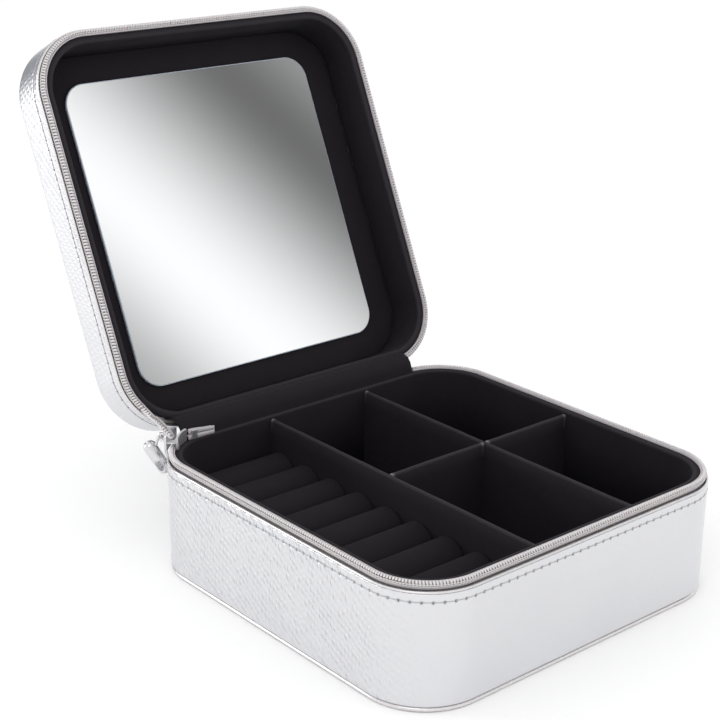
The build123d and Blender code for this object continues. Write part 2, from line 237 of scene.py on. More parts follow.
def mesh_object(name, points, faces, uvs=None, attributes=None):
    """An object from points and faces, with one uv for each corner of each face."""
    mesh = bpy.data.meshes.new(name)
    mesh.from_pydata([tuple(p) for p in points], [], faces)
    if uvs is not None:
        layer = mesh.uv_layers.new(name="UVMap")
        layer.data.foreach_set("uv", np.asarray(uvs, np.float32).ravel())
    for key, values in (attributes or {}).items():
        attribute = mesh.attributes.new(key, "FLOAT", "POINT")
        attribute.data.foreach_set("value", np.asarray(values, np.float32).ravel())
    outward = bmesh.new()
    outward.from_mesh(mesh)
    bmesh.ops.recalc_face_normals(outward, faces=outward.faces)
    outward.to_mesh(mesh)
    outward.free()
    for polygon in mesh.polygons:
        polygon.use_smooth = True
    return linked(name, mesh)


def grid(name, points, u, v, loop_rows=False, loop_columns=False, ends=False, attributes=None):
    """A surface through rows and columns of points. u and v are the places of the rows and columns
    on the cloth, with one more value where the rows or columns close into a loop. u and v may also
    be grids. ends closes the two ends of a tube."""
    rows, columns = points.shape[:2]
    if np.ndim(u) == 1:
        u, v = np.meshgrid(u, v, indexing="ij")
    row = np.arange(rows if loop_rows else rows - 1)
    column = np.arange(columns if loop_columns else columns - 1)
    r, c = (a.ravel() for a in np.meshgrid(row, column, indexing="ij"))
    corners = [(r, c), (r + 1, c), (r + 1, c + 1), (r, c + 1)]
    faces = np.stack([(a % rows) * columns + b % columns for a, b in corners], axis=1).tolist()
    uvs = np.stack([np.stack([u[a, b], v[a, b]], axis=-1) for a, b in corners], axis=1).reshape(-1, 2)
    if ends:
        for k in (0, rows - 1):
            faces.append([k * columns + i for i in range(columns)])
            uvs = np.concatenate([uvs, np.stack([u[k, :columns], v[k, :columns]], axis=-1)])
    return mesh_object(name, points.reshape(-1, 3), faces, uvs, attributes)


def sweep(name, track, distance, profile, closed_path=True, uneven=None, marks=None):
    """A closed (inset, height) profile swept along a track. marks holds vertex attributes for its points."""
    inset, height = profile.T
    if uneven is not None:
        inset = inset[None, :] + uneven(distance[:, None], inset[None, :], height[None, :])
    points = placed(track, distance[:, None], inset, height)
    along = np.append(distance, AROUND) if closed_path else distance
    attributes = {key: np.tile(values, (len(distance), 1)) for key, values in (marks or {}).items()}
    return grid(name, points, along, lengths(closed(profile)), closed_path, True, not closed_path, attributes)


def tube(name, centres, radius, sides=6, closed_path=False):
    """A round cord round a line of centres, whose section doesn't twist about it."""
    if closed_path:
        ahead = np.roll(centres, -1, axis=0) - np.roll(centres, 1, axis=0)
    else:
        ahead = np.gradient(centres, axis=0)
    ahead /= np.linalg.norm(ahead, axis=1)[:, None]
    side = np.cross(ahead, [0.12, 0.21, 0.97])
    side /= np.linalg.norm(side, axis=1)[:, None]
    up = np.cross(side, ahead)
    angles = np.arange(sides) / sides * FULL_TURN
    radius = np.broadcast_to(radius, len(centres))
    ring = side[:, None] * np.cos(angles)[None, :, None] + up[:, None] * np.sin(angles)[None, :, None]
    points = centres[:, None] + ring * radius[:, None, None]
    along = lengths(centres)
    if closed_path:
        along = np.append(along, along[-1] * (1 + 1 / len(centres)))
    across = np.arange(sides + 1) / sides * FULL_TURN * radius.max()
    return grid(name, points, along, across, closed_path, True, not closed_path)


def rings(name, points, places, attributes=None):
    """A closed skin from rings of points, the first and the last each filled with one face. places holds
    the uvs of each ring, with the first one again at the end."""
    places = np.stack(places)
    return grid(name, np.stack(points), places[..., 0], places[..., 1], loop_columns=True, ends=True,
                attributes=attributes)


def plate(name, at, distance, steps, put=np.array):
    """A plate from rings of one outline. Each step has a ring's inset, share of its size and height,
    and put brings its points to where they stand."""
    points, places = [], []
    for inset, share, height in steps:
        x, y, _ = at(distance, inset)
        ring = points_at(x * share, y * share, height)
        points.append(put(ring))
        places.append(closed(ring[:, :2]))
    return rings(name, points, places)


def joined(name, objects):
    """One object made of several."""
    whole = bmesh.new()
    for one in objects:
        whole.from_mesh(one.data)
        bpy.data.objects.remove(one)
    mesh = bpy.data.meshes.new(name)
    whole.to_mesh(mesh)
    whole.free()
    return linked(name, mesh)


def modified(obj, kind, **settings):
    """obj with a modifier applied to its mesh."""
    modifier = obj.modifiers.new(kind, kind)
    for key, value in settings.items():
        setattr(modifier, key, value)
    graph = bpy.context.evaluated_depsgraph_get()
    mesh = bpy.data.meshes.new_from_object(obj.evaluated_get(graph))
    obj.modifiers.clear()
    obj.data = mesh
    return obj


def dress(obj, material, body, slot, *nodes):
    """Gives a piece its material and the body that it rides on, and hides the nodes it stands for. slot is
    not used.
    """
    obj.data.materials.clear()
    obj.data.materials.append(material)
    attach(obj, body)
    if nodes:
        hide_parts(*nodes)
    return obj


# ================================================================ materials
class Shade:
    """A material with one Principled shader, and short ways to make the nodes that feed it."""

    def __init__(self, name, **values):
        self.material = bpy.data.materials.new(name)
        self.material.use_nodes = True
        self.tree = self.material.node_tree
        self.done(**values)

    def feed(self, node, inputs):
        """Sets a node's inputs to values or to other nodes' outputs."""
        for key, value in inputs.items():
            if isinstance(value, bpy.types.NodeSocket):
                self.tree.links.new(value, node.inputs[key])
            else:
                node.inputs[key].default_value = value
        return node

    def done(self, **inputs):
        """Feeds the shader, with _ for each space in its inputs' names. Returns the material."""
        named = {key.replace("_", " "): value for key, value in inputs.items()}
        self.feed(self.tree.nodes["Principled BSDF"], named)
        return self.material

    def node(self, kind, inputs, **settings):
        node = self.tree.nodes.new("ShaderNode" + kind)
        for key, value in settings.items():
            setattr(node, key, value)
        return self.feed(node, inputs)

    def cloth(self):
        """Places on the flat cloth."""
        return self.node("UVMap", {}, uv_map="UVMap").outputs[0]

    def solid(self):
        """Places in the solid."""
        return self.node("TexCoord", {}).outputs["Object"]

    def attribute(self, name):
        return self.node("Attribute", {}, attribute_name=name).outputs["Fac"]

    def noise(self, place, scale, detail=2.0, roughness=0.5, output="Fac"):
        inputs = {"Vector": place, "Scale": scale, "Detail": detail, "Roughness": roughness}
        return self.node("TexNoise", inputs).outputs[output]

    def mapped(self, place, **inputs):
        return self.node("Mapping", {"Vector": place, **inputs}).outputs[0]

    def math(self, operation, a, b=0.0, c=0.0, clamp=False):
        return self.node("Math", {0: a, 1: b, 2: c}, operation=operation, use_clamp=clamp).outputs[0]

    def vector(self, operation, a, b):
        """A vector, or a number for a dot product."""
        node = self.node("VectorMath", {0: a, "Scale" if operation == "SCALE" else 1: b}, operation=operation)
        return node.outputs["Value" if operation == "DOT_PRODUCT" else "Vector"]

    def mix(self, share, a, b):
        """A colour between a and b."""
        return self.node("Mix", {0: share, 6: a, 7: b}, data_type="RGBA").outputs[2]

    def bump(self, height, distance, strength=1.0, onto=None):
        """A normal from a height of 0 to 1, on top of another."""
        inputs = {"Height": height, "Distance": distance, "Strength": strength}
        if onto is not None:
            inputs["Normal"] = onto
        return self.node("Bump", inputs).outputs[0]


def slanted_rows(shade, place, pitch, spacing, slope):
    """Places on a grid of unit cells in slanted rows, each row half a cell on from the one below."""
    level = np.array([[math.cos(slope), math.sin(slope)], [-math.sin(slope), math.cos(slope)]])
    cells = np.array([[1.0, 0.5], [0.0, 1.0]]) @ np.diag([1 / pitch, 1 / spacing]) @ level
    second, sizes, first = np.linalg.svd(cells)
    for flipped in (second, first.T):
        if np.linalg.det(flipped) < 0:
            flipped[:, 1] *= -1
            sizes[1] *= -1
    first_turn, second_turn = (math.atan2(turn[1, 0], turn[0, 0]) for turn in (first, second))
    place = shade.mapped(place, Rotation=(0, 0, first_turn))
    return shade.mapped(place, Scale=(sizes[0], sizes[1], 1.0), Rotation=(0, 0, second_turn))


def silver_leather():
    """Metallic faux leather with a snakeskin emboss: rows of small domed scales that lean and vary."""
    shade = Shade("silver_leather", IOR=1.5)
    cloth = shade.cloth()
    drift = shade.vector("SUBTRACT", shade.noise(cloth, 34.0, 1.0, output="Color"), (0.5, 0.5, 0.5))
    place = shade.vector("ADD", cloth, shade.vector("SCALE", drift, 0.005))
    scales_at = slanted_rows(shade, place, 2.2 * MM, 2.7 * MM, math.radians(-31))
    cells = {"Vector": scales_at, "Scale": 1.0, "Randomness": 0.25}
    edge = shade.node("TexVoronoi", cells, voronoi_dimensions="2D", feature="DISTANCE_TO_EDGE")
    cell = shade.node("TexVoronoi", cells, voronoi_dimensions="2D", feature="F1")
    rise = {"Value": edge.outputs["Distance"], 1: 0.06, 2: 0.42}
    dome = shade.node("MapRange", rise, interpolation_type="SMOOTHSTEP").outputs[0]
    from_middle = shade.vector("SUBTRACT", scales_at, cell.outputs["Position"])
    lean = shade.vector("DOT_PRODUCT", from_middle, (0.25, 0.2, 0.0))
    tone = shade.node("SeparateColor", {"Color": cell.outputs["Color"]}).outputs[0]
    raised = shade.math("ADD", shade.math("MULTIPLY_ADD", tone, 0.6, 0.6), lean)
    grain = shade.noise(cloth, 1900.0, 3.0)
    area = shade.noise(cloth, 42.0)
    strength = shade.math("SUBTRACT", 1.0, shade.attribute("calm"))
    emboss = shade.bump(shade.math("MULTIPLY", dome, raised), 0.185 * MM, strength)
    colour = shade.mix(area, (0.685, 0.688, 0.712, 1), (0.722, 0.722, 0.742, 1))
    # the dark attribute is painted shade at needle holes and the foot groove: it pulls the colour to near
    # black and takes away metallic
    dark = shade.math("MULTIPLY", shade.attribute("dark"), 1.5, clamp=True)
    rough = shade.math("MULTIPLY_ADD", area, 0.12, 0.22)
    return shade.done(Base_Color=shade.mix(dark, colour, (0.012, 0.012, 0.014, 1)),
                      Metallic=shade.math("MULTIPLY", shade.math("SUBTRACT", 1.0, dark), 0.86),
                      Roughness=shade.math("MULTIPLY_ADD", grain, 0.05, rough),
                      Normal=shade.bump(grain, 0.008 * MM, onto=emboss))


def silver_edge():
    """The same leather folded tight over a cord: smooth, finely creased, a little warm."""
    shade = Shade("silver_edge", IOR=1.5, Metallic=0.75)
    place = shade.cloth()
    grain = shade.noise(place, 900.0, 3.0)
    crease = shade.node("TexNoise", {"Vector": shade.mapped(place, Scale=(1.0, 0.15, 1.0)), "Scale": 700.0})
    creased = shade.bump(crease.outputs["Fac"], 0.03 * MM)
    colour = shade.mix(grain, (0.66, 0.64, 0.65, 1), (0.77, 0.75, 0.76, 1))
    # the dark attribute is painted shade under the base's beads
    return shade.done(Base_Color=shade.mix(shade.attribute("dark"), colour, (0.05, 0.05, 0.055, 1)),
                      Roughness=shade.math("MULTIPLY_ADD", grain, 0.14, 0.22),
                      Normal=shade.bump(grain, 0.012 * MM, onto=creased))


def velvet():
    """Near-black short pile: soft nap that leans in patches, a faint sheen, lighter pile at rubbed divider
    ends and painted highlight on divider tops and lining lips.
    """
    shade = Shade("velvet", Roughness=0.92, IOR=1.42, Specular_IOR_Level=0.12, Sheen_Weight=0.016,
                  Sheen_Roughness=0.42, Sheen_Tint=(0.86, 0.82, 0.92, 1))
    place = shade.solid()
    nap = shade.noise(place, 75.0, 3.0, 0.6)
    pile = shade.noise(place, 2600.0, 2.0, 0.7)
    colour = shade.mix(nap, (0.0115, 0.0095, 0.0122, 1), (0.0175, 0.0148, 0.0190, 1))
    colour = shade.mix(shade.math("MULTIPLY", pile, 0.5), colour, (0.026, 0.022, 0.027, 1))
    # lighter pile: real wear at divider ends, painted highlight on divider tops and lining lips
    wear_and_highlight = shade.math("MULTIPLY", shade.attribute("wear_and_highlight"), pile)
    return shade.done(Base_Color=shade.mix(wear_and_highlight, colour, (0.34, 0.33, 0.34, 1)),
                      Normal=shade.bump(nap, 0.7 * MM, 0.5, shade.bump(pile, 0.10 * MM, 0.8)))


def woven_tape():
    """Taupe polyester tape: fine warp ribs crossed by the weft."""
    shade = Shade("woven_tape", Roughness=0.72, IOR=1.46, Sheen_Weight=0.12)
    place = shade.cloth()
    ribs = {"Vector": place, "Distortion": 0.8, "Detail": 1.0}
    warp = shade.node("TexWave", {**ribs, "Scale": 800.0}, bands_direction="Y").outputs["Fac"]
    weft = shade.node("TexWave", {**ribs, "Scale": 950.0}, bands_direction="X").outputs["Fac"]
    weave = shade.math("MULTIPLY_ADD", warp, 0.6, shade.math("MULTIPLY", weft, 0.4))
    height = shade.math("MULTIPLY_ADD", shade.noise(place, 1500.0), 0.3, weave)
    colour = shade.mix(weave, (0.43, 0.40, 0.42, 1), (0.57, 0.535, 0.555, 1))
    # the dark attribute is painted shade at the tape's foot beside the bead
    return shade.done(Base_Color=shade.mix(shade.attribute("dark"), colour, (0.035, 0.033, 0.040, 1)),
                      Normal=shade.bump(height, 0.05 * MM))


def nylon():
    """The coil: smooth, slightly waxy taupe nylon with faint mottling."""
    shade = Shade("nylon", IOR=1.53, Subsurface_Weight=0.12, Subsurface_Scale=0.0006)
    mottle = shade.noise(shade.solid(), 600.0)
    return shade.done(Base_Color=shade.mix(mottle, (0.60, 0.575, 0.585, 1), (0.72, 0.70, 0.705, 1)),
                      Roughness=shade.math("MULTIPLY_ADD", mottle, 0.16, 0.30))


def sewing_thread(name, dark, light):
    """Twisted sewing thread."""
    shade = Shade(name, Roughness=0.6)
    place = shade.mapped(shade.cloth(), Rotation=(0, 0, 0.7))
    twist = shade.node("TexWave", {"Vector": place, "Scale": 700.0}).outputs["Fac"]
    return shade.done(Base_Color=shade.mix(twist, dark, light), Normal=shade.bump(twist, 0.05 * MM))


def plated_metal(name, rough):
    """Nickel-plated zinc: bright, with fine scratches and soft dulled areas."""
    shade = Shade(name, Metallic=1.0)
    place = shade.solid()
    dull = shade.noise(place, 260.0, 3.0)
    scratch = shade.noise(shade.mapped(place, Scale=(1.0, 0.2, 0.12)), 5200.0)
    return shade.done(Base_Color=shade.mix(dull, (0.60, 0.60, 0.62, 1), (0.76, 0.755, 0.76, 1)),
                      Roughness=shade.math("MULTIPLY_ADD", dull, 0.18, rough),
                      Normal=shade.bump(scratch, 0.006 * MM))


def mirror_face():
    """Silvered glass, very slightly uneven in its polish."""
    shade = Shade("mirror_face", Metallic=1.0)
    smear = shade.noise(shade.solid(), 30.0, 3.0)
    return shade.done(Base_Color=shade.mix(smear, (0.93, 0.94, 0.95, 1), (0.95, 0.955, 0.96, 1)),
                      Roughness=shade.math("MULTIPLY_ADD", smear, 0.012, 0.004))


def glass_edge():
    """The ground edge of the mirror: pale blue-green, satin."""
    shade = Shade("glass_edge", IOR=1.5)
    frost = shade.noise(shade.solid(), 900.0)
    return shade.done(Base_Color=shade.mix(frost, (0.47, 0.55, 0.66, 1), (0.66, 0.73, 0.82, 1)),
                      Roughness=shade.math("MULTIPLY_ADD", frost, 0.2, 0.18))


def plain_stock(name, dark, light, scale):
    """Inner materials that the covers hide: pressed board or foam, mottled."""
    shade = Shade(name, Roughness=0.85)
    mottle = shade.noise(shade.solid(), scale, 4.0)
    return shade.done(Base_Color=shade.mix(mottle, dark, light), Normal=shade.bump(mottle, 0.05 * MM))


SILVER = silver_leather()
SILVER_EDGE = silver_edge()
VELVET = velvet()
TAPE_CLOTH = woven_tape()
NYLON = nylon()
SEAM_THREAD = sewing_thread("seam_thread", (0.50, 0.49, 0.53, 1), (0.66, 0.65, 0.69, 1))
ZIP_THREAD = sewing_thread("zip_thread", (0.50, 0.47, 0.47, 1), (0.80, 0.77, 0.77, 1))
PLATED = plated_metal("plated_metal", 0.16)
PLATED_WORN = plated_metal("plated_metal_worn", 0.34)
MIRROR = mirror_face()
GLASS_EDGE = glass_edge()
BOARD = plain_stock("greyboard", (0.30, 0.29, 0.27, 1), (0.44, 0.43, 0.41, 1), 900.0)
FOAM = plain_stock("foam", (0.62, 0.62, 0.58, 1), (0.78, 0.78, 0.74, 1), 1600.0)

# ================================================================ stitched silver skins
STITCHES = round(AROUND / (3.85 * MM))
STITCH = AROUND / STITCHES
FIRST_HOLE = 0.13                        # how far from the outline's start, in stitches
STITCH_FROM_EDGE = 3.1 * MM
# places along one stitch, closer together round its needle hole at 0
STITCH_PLACES = np.array([-0.10, -0.055, 0.0, 0.055, 0.10, 0.22, 0.5, 0.78])
HOLE = 0.36 * MM
HOLE_SHADE = 0.44 * MM                   # radius of the dark round a needle hole


def along_stitches(places):
    """Distances along the outline of the same places in every stitch."""
    return ((np.arange(STITCHES)[:, None] + FIRST_HOLE + places) * STITCH).ravel()


seam_distance = along_stitches(STITCH_PLACES)
hole_gap = np.tile(np.abs(STITCH_PLACES), STITCHES)[:, None] * STITCH


def skin_uneven(distance, height, seam_height):
    """How far the skin lies inside its true face: needle holes, the pulled-in seam and slack between."""
    from_seam = height - seam_height
    hole = np.exp(-((hole_gap / HOLE) ** 2) - (from_seam / HOLE) ** 2)
    seam = np.exp(-((from_seam / (0.55 * MM)) ** 2))
    slack = waves(distance, height * 1.7, 21 * MM)
    away = smooth(np.abs(from_seam) / (2 * MM))
    return 0.42 * MM * hole + 0.10 * MM * seam + 0.07 * MM * (1 + slack) * away


def face_heights(low, high, seam_height):
    """Heights of a skin's rows, close together at the seam."""
    foot = low + np.array([0.0, 0.25, 0.55, 0.9]) * MM
    near = seam_height + np.array([-1.3, -0.8, -0.5, -0.3, -0.15, 0, 0.15, 0.3, 0.5, 0.8, 1.3]) * MM
    step = 1.9 * MM
    wide = [h for h in np.arange(low + step, high, step) if abs(h - seam_height) > step]
    return np.array(sorted([*foot, *wide, *near, high]))


def skin_profile(face_low, rim, seam_height):
    """Rows of a wall's skin, from the bottom of its face, over the rim and down inside, then back."""
    fold = 0.42 * MM
    face = face_heights(face_low, rim - fold, seam_height)
    turns = np.radians([22, 45, 68, 90])
    over = [(fold * (1 - math.cos(t)), rim - fold + fold * math.sin(t)) for t in turns]
    inside = [(SKIN, rim), (SKIN, TAPE_BOTTOM), (1.5 * MM, TAPE_BOTTOM), (1.5 * MM, face_low)]
    return np.array([(0.0, h) for h in face] + over + inside), len(face)


def stitched(profile, faces, seam):
    """Inset, height and darkness of a skin at each distance and row: round each needle hole the darkness is
    partly thread and crushed coating, partly painted shade. faces is how many rows are its face.
    """
    inset, height = (np.tile(column, (len(seam_distance), 1)) for column in profile.T)
    face = height[:1, :faces]
    inset[:, :faces] += skin_uneven(seam_distance[:, None], face, seam)
    dark = np.zeros_like(inset)
    # darker round each needle hole: partly thread and crushed coating, partly painted shade
    dark[:, :faces] = np.exp(-((hole_gap / HOLE_SHADE) ** 2) - ((face - seam) / HOLE_SHADE) ** 2)
    return inset, height, dark


def base_skin():
    """The base's silver wall."""
    seam = WALL_TOP - STITCH_FROM_EDGE
    profile, faces = skin_profile(wall_low.z + 0.05 * MM, WALL_TOP, seam)
    inset, height, dark = stitched(profile, faces, seam)
    above_foot = height - wall_low.z
    inset[:, :faces] += 0.3 * MM * np.clip(1 - above_foot[:, :faces] / (0.5 * MM), 0, 1) ** 2
    # painted shade in the groove at the wall's foot, above the foot bead
    dark += 0.55 * np.clip(1 - above_foot / (0.55 * MM), 0, 1) * (inset < 0.5 * MM)
    points = placed(base_track, seam_distance[:, None], inset, height)
    along = np.append(seam_distance, seam_distance[0] + AROUND)
    turn = case_at(seam_distance)[2]
    calm = 0.8 * smooth((-np.sin(turn) - 0.35) / 0.5)[:, None] + 0 * dark
    made = grid("base_skin", points, along, lengths(closed(profile)), True, True,
                attributes={"dark": dark, "calm": calm})
    return dress(made, SILVER, "base", "silver_leather", "base_side_cover")


def seam_row(name, track, seam_height, body):
    """One row of lockstitches: thread that dips into each needle hole."""
    places = np.array([0.0, 0.07, 0.15, 0.27, 0.5, 0.73, 0.85, 0.93])
    rise = np.array([-0.60, -0.30, -0.02, 0.05, 0.065, 0.05, -0.02, -0.30]) * MM
    thick = np.array([0.20, 0.17, 0.13, 0.115, 0.11, 0.115, 0.13, 0.17]) * MM
    distance = along_stitches(places)
    wander = 0.06 * MM * waves(distance, 0.0, 5 * MM)
    centres = placed(track, distance, 0.05 * MM - np.tile(rise, STITCHES), seam_height + wander)
    made = tube(name, centres, np.tile(thick, STITCHES), closed_path=True)
    return dress(made, SEAM_THREAD, body, "silver_leather")


def lid_skin():
    """The lid's silver shell: stitched wall, rounded edge and softly crowned top."""
    rim = mirrored(LID_RIM)
    seam = rim - STITCH_FROM_EDGE
    edge = 5.0 * MM
    crown = 0.9 * MM
    top = mirrored(LID_TOP)
    face_end = top + edge + crown
    profile, faces = skin_profile(face_end, rim, seam)
    profile = profile[:-2]
    inset, height, wall_dark = stitched(profile, faces, seam)

    def ring(inset_by, level, shrink=1.0):
        """One ring of the top, drawn in by an inset and a share of its size."""
        x, y, _ = case_at(seam_distance, inset_by)
        x, y = x * shrink, y * shrink
        middle = (1 - (x / HALF) ** 2) * (1 - (y / HALF) ** 2)
        slack = 0.25 * MM * waves(x, y, 26 * MM)
        rise = (crown * np.clip(middle, 0, 1) ** 0.6 + slack * middle) * smooth(inset_by / edge)
        return points_at(x, y, mirrored(level) + rise)

    def inner_ring(inset_by, level):
        """One flat ring of the shell's inside."""
        x, y, _ = case_at(seam_distance, inset_by)
        return points_at(x, y, mirrored(level))

    def by_distance(level):
        """A ring's uvs, where they are its distance along the outline and its level down the wall."""
        along = np.append(seam_distance, seam_distance[0] + AROUND)
        return np.stack([along, 0 * along + level], axis=-1)

    shrinks = (0.015, 0.12, 0.24, 0.36, 0.47, 0.57, 0.66, 0.74, 0.81, 0.87, 0.92, 0.96, 0.985, 0.9998)
    top_rings = [ring(edge, top + crown, shrink) for shrink in shrinks]
    round_turns = np.radians(np.arange(90, 0, -15))
    round_rings = [ring(edge * (1 - math.cos(t)), face_end - edge * math.sin(t)) for t in round_turns]
    inner_rings = [inner_ring(1.5 * MM, TAPE_BOTTOM), inner_ring(1.5 * MM, face_end),
                   inner_ring(5.0 * MM, top + 1.7 * MM)]
    wall = placed(lid_track, seam_distance[:, None], inset, height).swapaxes(0, 1)
    points = [opened(one) for one in top_rings + round_rings] + list(wall)
    points += [opened(one) for one in inner_rings]
    levels = [*(face_end - edge * round_turns), *profile[:, 1]]
    places = [closed(one[:, :2]) for one in top_rings] + [by_distance(level) for level in levels]
    places += [closed(one[:, :2]) for one in inner_rings]
    # painted shade round the needle holes on the wall's rows, partly thread and crushed coating
    dark = np.zeros((len(points), len(seam_distance)))
    above = len(top_rings) + len(round_rings)
    dark[above:above + len(profile)] = wall_dark.T
    made = rings("lid_skin", points, places, {"dark": dark, "calm": np.full(dark.shape, 0.45)})
    return dress(made, SILVER, "lid", "silver_leather", "lid_cover")


base_skin()
lid_skin()
seam_row("base_seam_thread", base_track, WALL_TOP - STITCH_FROM_EDGE, "base")
seam_row("lid_seam_thread", lid_track, mirrored(LID_RIM) - STITCH_FROM_EDGE, "lid")

# ================================================================ piping and underside
LEFT_END = distance_at_back(-58.0 * MM)
RIGHT_END = distance_at_back(58.0 * MM)


def bead(name, track, low, high, start, end, body, node):
    """A leather-covered cord along the outline between two heights, with the small creases of its corners."""
    closed_path = end - start > AROUND - 1 * MM
    distance = np.arange(start, end, 1.4 * MM)
    if not closed_path:
        distance = np.append(distance, end)
    middle, radius = (low + high) / 2, abs(high - low) / 2
    angles = np.arange(12) / 12 * FULL_TURN
    uneven = radius * (1 + 0.035 * waves(distance, 0.0, 3 * MM)[:, None])
    inset, height = radius - uneven * np.cos(angles), middle + uneven * np.sin(angles)
    points = placed(track, distance[:, None], inset, height)
    across = np.arange(13) / 12 * FULL_TURN * radius
    along = np.append(distance, AROUND) if closed_path else distance
    # painted shade on the lower face of the base's beads
    under = 0.25 * smooth((-np.sin(angles) - 0.45) / 0.5) if track is base_track else 0 * angles
    dark = {"dark": np.tile(under, (len(distance), 1))}
    made = grid(name, points, along, across, closed_path, True, not closed_path, dark)
    return dress(made, SILVER_EDGE, body, "silver_edge", node)


bead("base_rim_bead", base_track, bead_low.z, bead_high.z, LEFT_END, RIGHT_END, "base", "base_top_piping")
bead("lid_rim_bead", lid_track, mirrored(lid_bead_high.z), mirrored(lid_bead_low.z), LEFT_END, RIGHT_END,
     "lid", "lid_rim_piping")
bead("base_foot_bead", base_track, foot_low.z, foot_high.z, 0.0, AROUND, "base", "base_bottom_piping")


def underside():
    """The bottom panel, its edge turned up into the foot's seam."""
    low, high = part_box("base_bottom_cover")
    inset = HALF - high.x
    steps = [(inset + 0.4 * MM, share, low.z) for share in (0.02, 0.3, 0.6, 0.9, 0.995)]
    steps += [(inset + 0.1 * MM, 1.0, low.z + 0.1 * MM), (inset, 1.0, low.z + 0.4 * MM),
              (inset, 1.0, high.z), (inset, 0.02, high.z)]
    made = plate("base_underside", case_at, np.arange(0, AROUND, 1.5 * MM), steps)
    return dress(made, SILVER, "base", "silver_leather", "base_bottom_cover")


underside()

# ================================================================ the zip
COIL_PITCH = 1.2 * MM
COIL_WIRE = 0.42 * MM
COIL_MIDDLE = (COIL_TOP + COIL_BOTTOM) / 2
COIL_RUN = 12                            # points round each turn
LID_ZIP_START = distance_at_turn(145)
MOUTH = distance_at_turn(139.3)          # where the lid's zip leaves the slider


def coil(name, track, start, end):
    """A nylon coil: each turn crosses the tape, and steps on to the next at its foot."""
    step = np.arange(int((end - start) / COIL_PITCH) * COIL_RUN + 1)
    phase = step / COIL_RUN * FULL_TURN
    whole, part = np.divmod(step / COIL_RUN + 0.5, 1.0)
    distance = start + COIL_PITCH * (whole + 0.55 * smooth((part - 0.25) / 0.5) + 0.45 * part - 0.5)
    across = (COIL_IN - COIL_OUT) / 2 - COIL_WIRE
    tall = (COIL_TOP - COIL_BOTTOM) / 2 - COIL_WIRE
    flat = np.sign(np.cos(phase)) * np.abs(np.cos(phase)) ** 0.7
    inset = (COIL_IN + COIL_OUT) / 2 + across * flat
    height = COIL_MIDDLE + tall * np.sin(phase)
    return tube(name, placed(track, np.clip(distance, start, end), inset, height), COIL_WIRE)


def coil_sewing(track, start, end, height):
    """The thread that holds the coil to its tape, one loop over each turn."""
    distance = np.arange(start, end, COIL_PITCH / 4)
    over = 0.11 * MM * np.cos((distance - start) / COIL_PITCH * FULL_TURN)
    return tube("row", placed(track, distance, COIL_OUT - over, height), 0.15 * MM, 5)


def tape(name, track, start, end, depth, covered):
    """The woven tape, down to a depth under the middle: it passes behind the coil, and where the cover hides
    it its foot has painted shade, for the groove beside the bead. Its profile holds insets and depths in
    millimetres."""
    deepest = depth / MM
    foot = deepest - 0.1 * covered
    profile = [(0.93, deepest), (0.93, foot), (1.55, 5.1), (1.57, 4.75), (1.68, 4.4), (1.9, 4.0),
               (2.25, 3.6), (2.62, 3.1), (2.62, 2.1), (3.07, 2.1), (3.07, 3.3), (2.72, 3.9), (2.3, 4.7),
               (2.2, 5.14), (1.38, foot), (1.38, deepest)]
    profile = np.array(profile) * MM
    # painted shade on the tape's foot, in the groove beside the bead
    dark = 0.9 * smooth((profile[:, 1] - 4.5 * MM) / (0.3 * MM)) * covered
    profile[:, 1] = MIDDLE - profile[:, 1]
    distance = np.append(np.arange(start, end, 1.5 * MM), end)
    return sweep(name, track, distance, profile, closed_path=False, marks={"dark": dark})


def stringer(body, track, start, end, tape_node, coil_node):
    """Half a zip on one body: tape, coil and the sewing over it."""
    cloth = tape(f"{body}_tape", track, start, end, MIDDLE - TAPE_BOTTOM, True)
    dress(cloth, TAPE_CLOTH, body, "tape", tape_node)
    dress(coil(f"{body}_coil", track, start, end), NYLON, body, "coil", coil_node)
    rows = [coil_sewing(track, start, end, COIL_MIDDLE + h * MM) for h in (-0.72, -0.1)]
    dress(joined(f"{body}_coil_sewing", rows), ZIP_THREAD, body, "tape")


stringer("base", base_track, LEFT_END, RIGHT_END, "base_zip_tape", "base_zip_coil")
stringer("lid", lid_track, LID_ZIP_START, RIGHT_END, "lid_zip_tape", "lid_zip_coil")


# ---------------------------------------------------------------- the lid's zip bends down into the slider
def frame_at(track, distance):
    """The coil's top outer edge, its way ahead, outward and upward, at one distance along a track."""
    edge = placed(track, np.array([distance, distance + 1 * MM]), COIL_OUT, COIL_TOP)
    _, outward, upward = track(np.array([distance]))
    return edge[0], (edge[1] - edge[0]) / MM, outward[0], upward[0]


held, held_ahead, held_out, held_up = frame_at(closed_lid_track, MOUTH)
free, free_ahead, free_out, free_up = frame_at(lid_track, LID_ZIP_START)
held = held + np.array([0, 0, 0.5 * MM])
t = np.linspace(0, 1, 60)[:, None]
bend_line = ((2 * t ** 3 - 3 * t ** 2 + 1) * held + (t ** 3 - 2 * t ** 2 + t) * held_ahead * 6 * MM
             + (3 * t ** 2 - 2 * t ** 3) * free + (t ** 3 - t ** 2) * free_ahead * 7 * MM)
bend_at = lengths(bend_line)
BEND = float(bend_at[-1])


def bend_track(distance):
    """From the slider's mouth, at 0, up to where the lid's own stringer starts."""
    edge = np.stack([np.interp(distance, bend_at, bend_line[:, k]) for k in range(3)], axis=-1)
    share = smooth(distance / BEND)[..., None]
    out = held_out * (1 - share) + free_out * share
    out /= np.linalg.norm(out, axis=-1)[..., None]
    up = held_up * (1 - share) + free_up * share
    up -= out * (up * out).sum(axis=-1)[..., None]
    up /= np.linalg.norm(up, axis=-1)[..., None]
    return edge + out * COIL_OUT - up * COIL_TOP, out, up


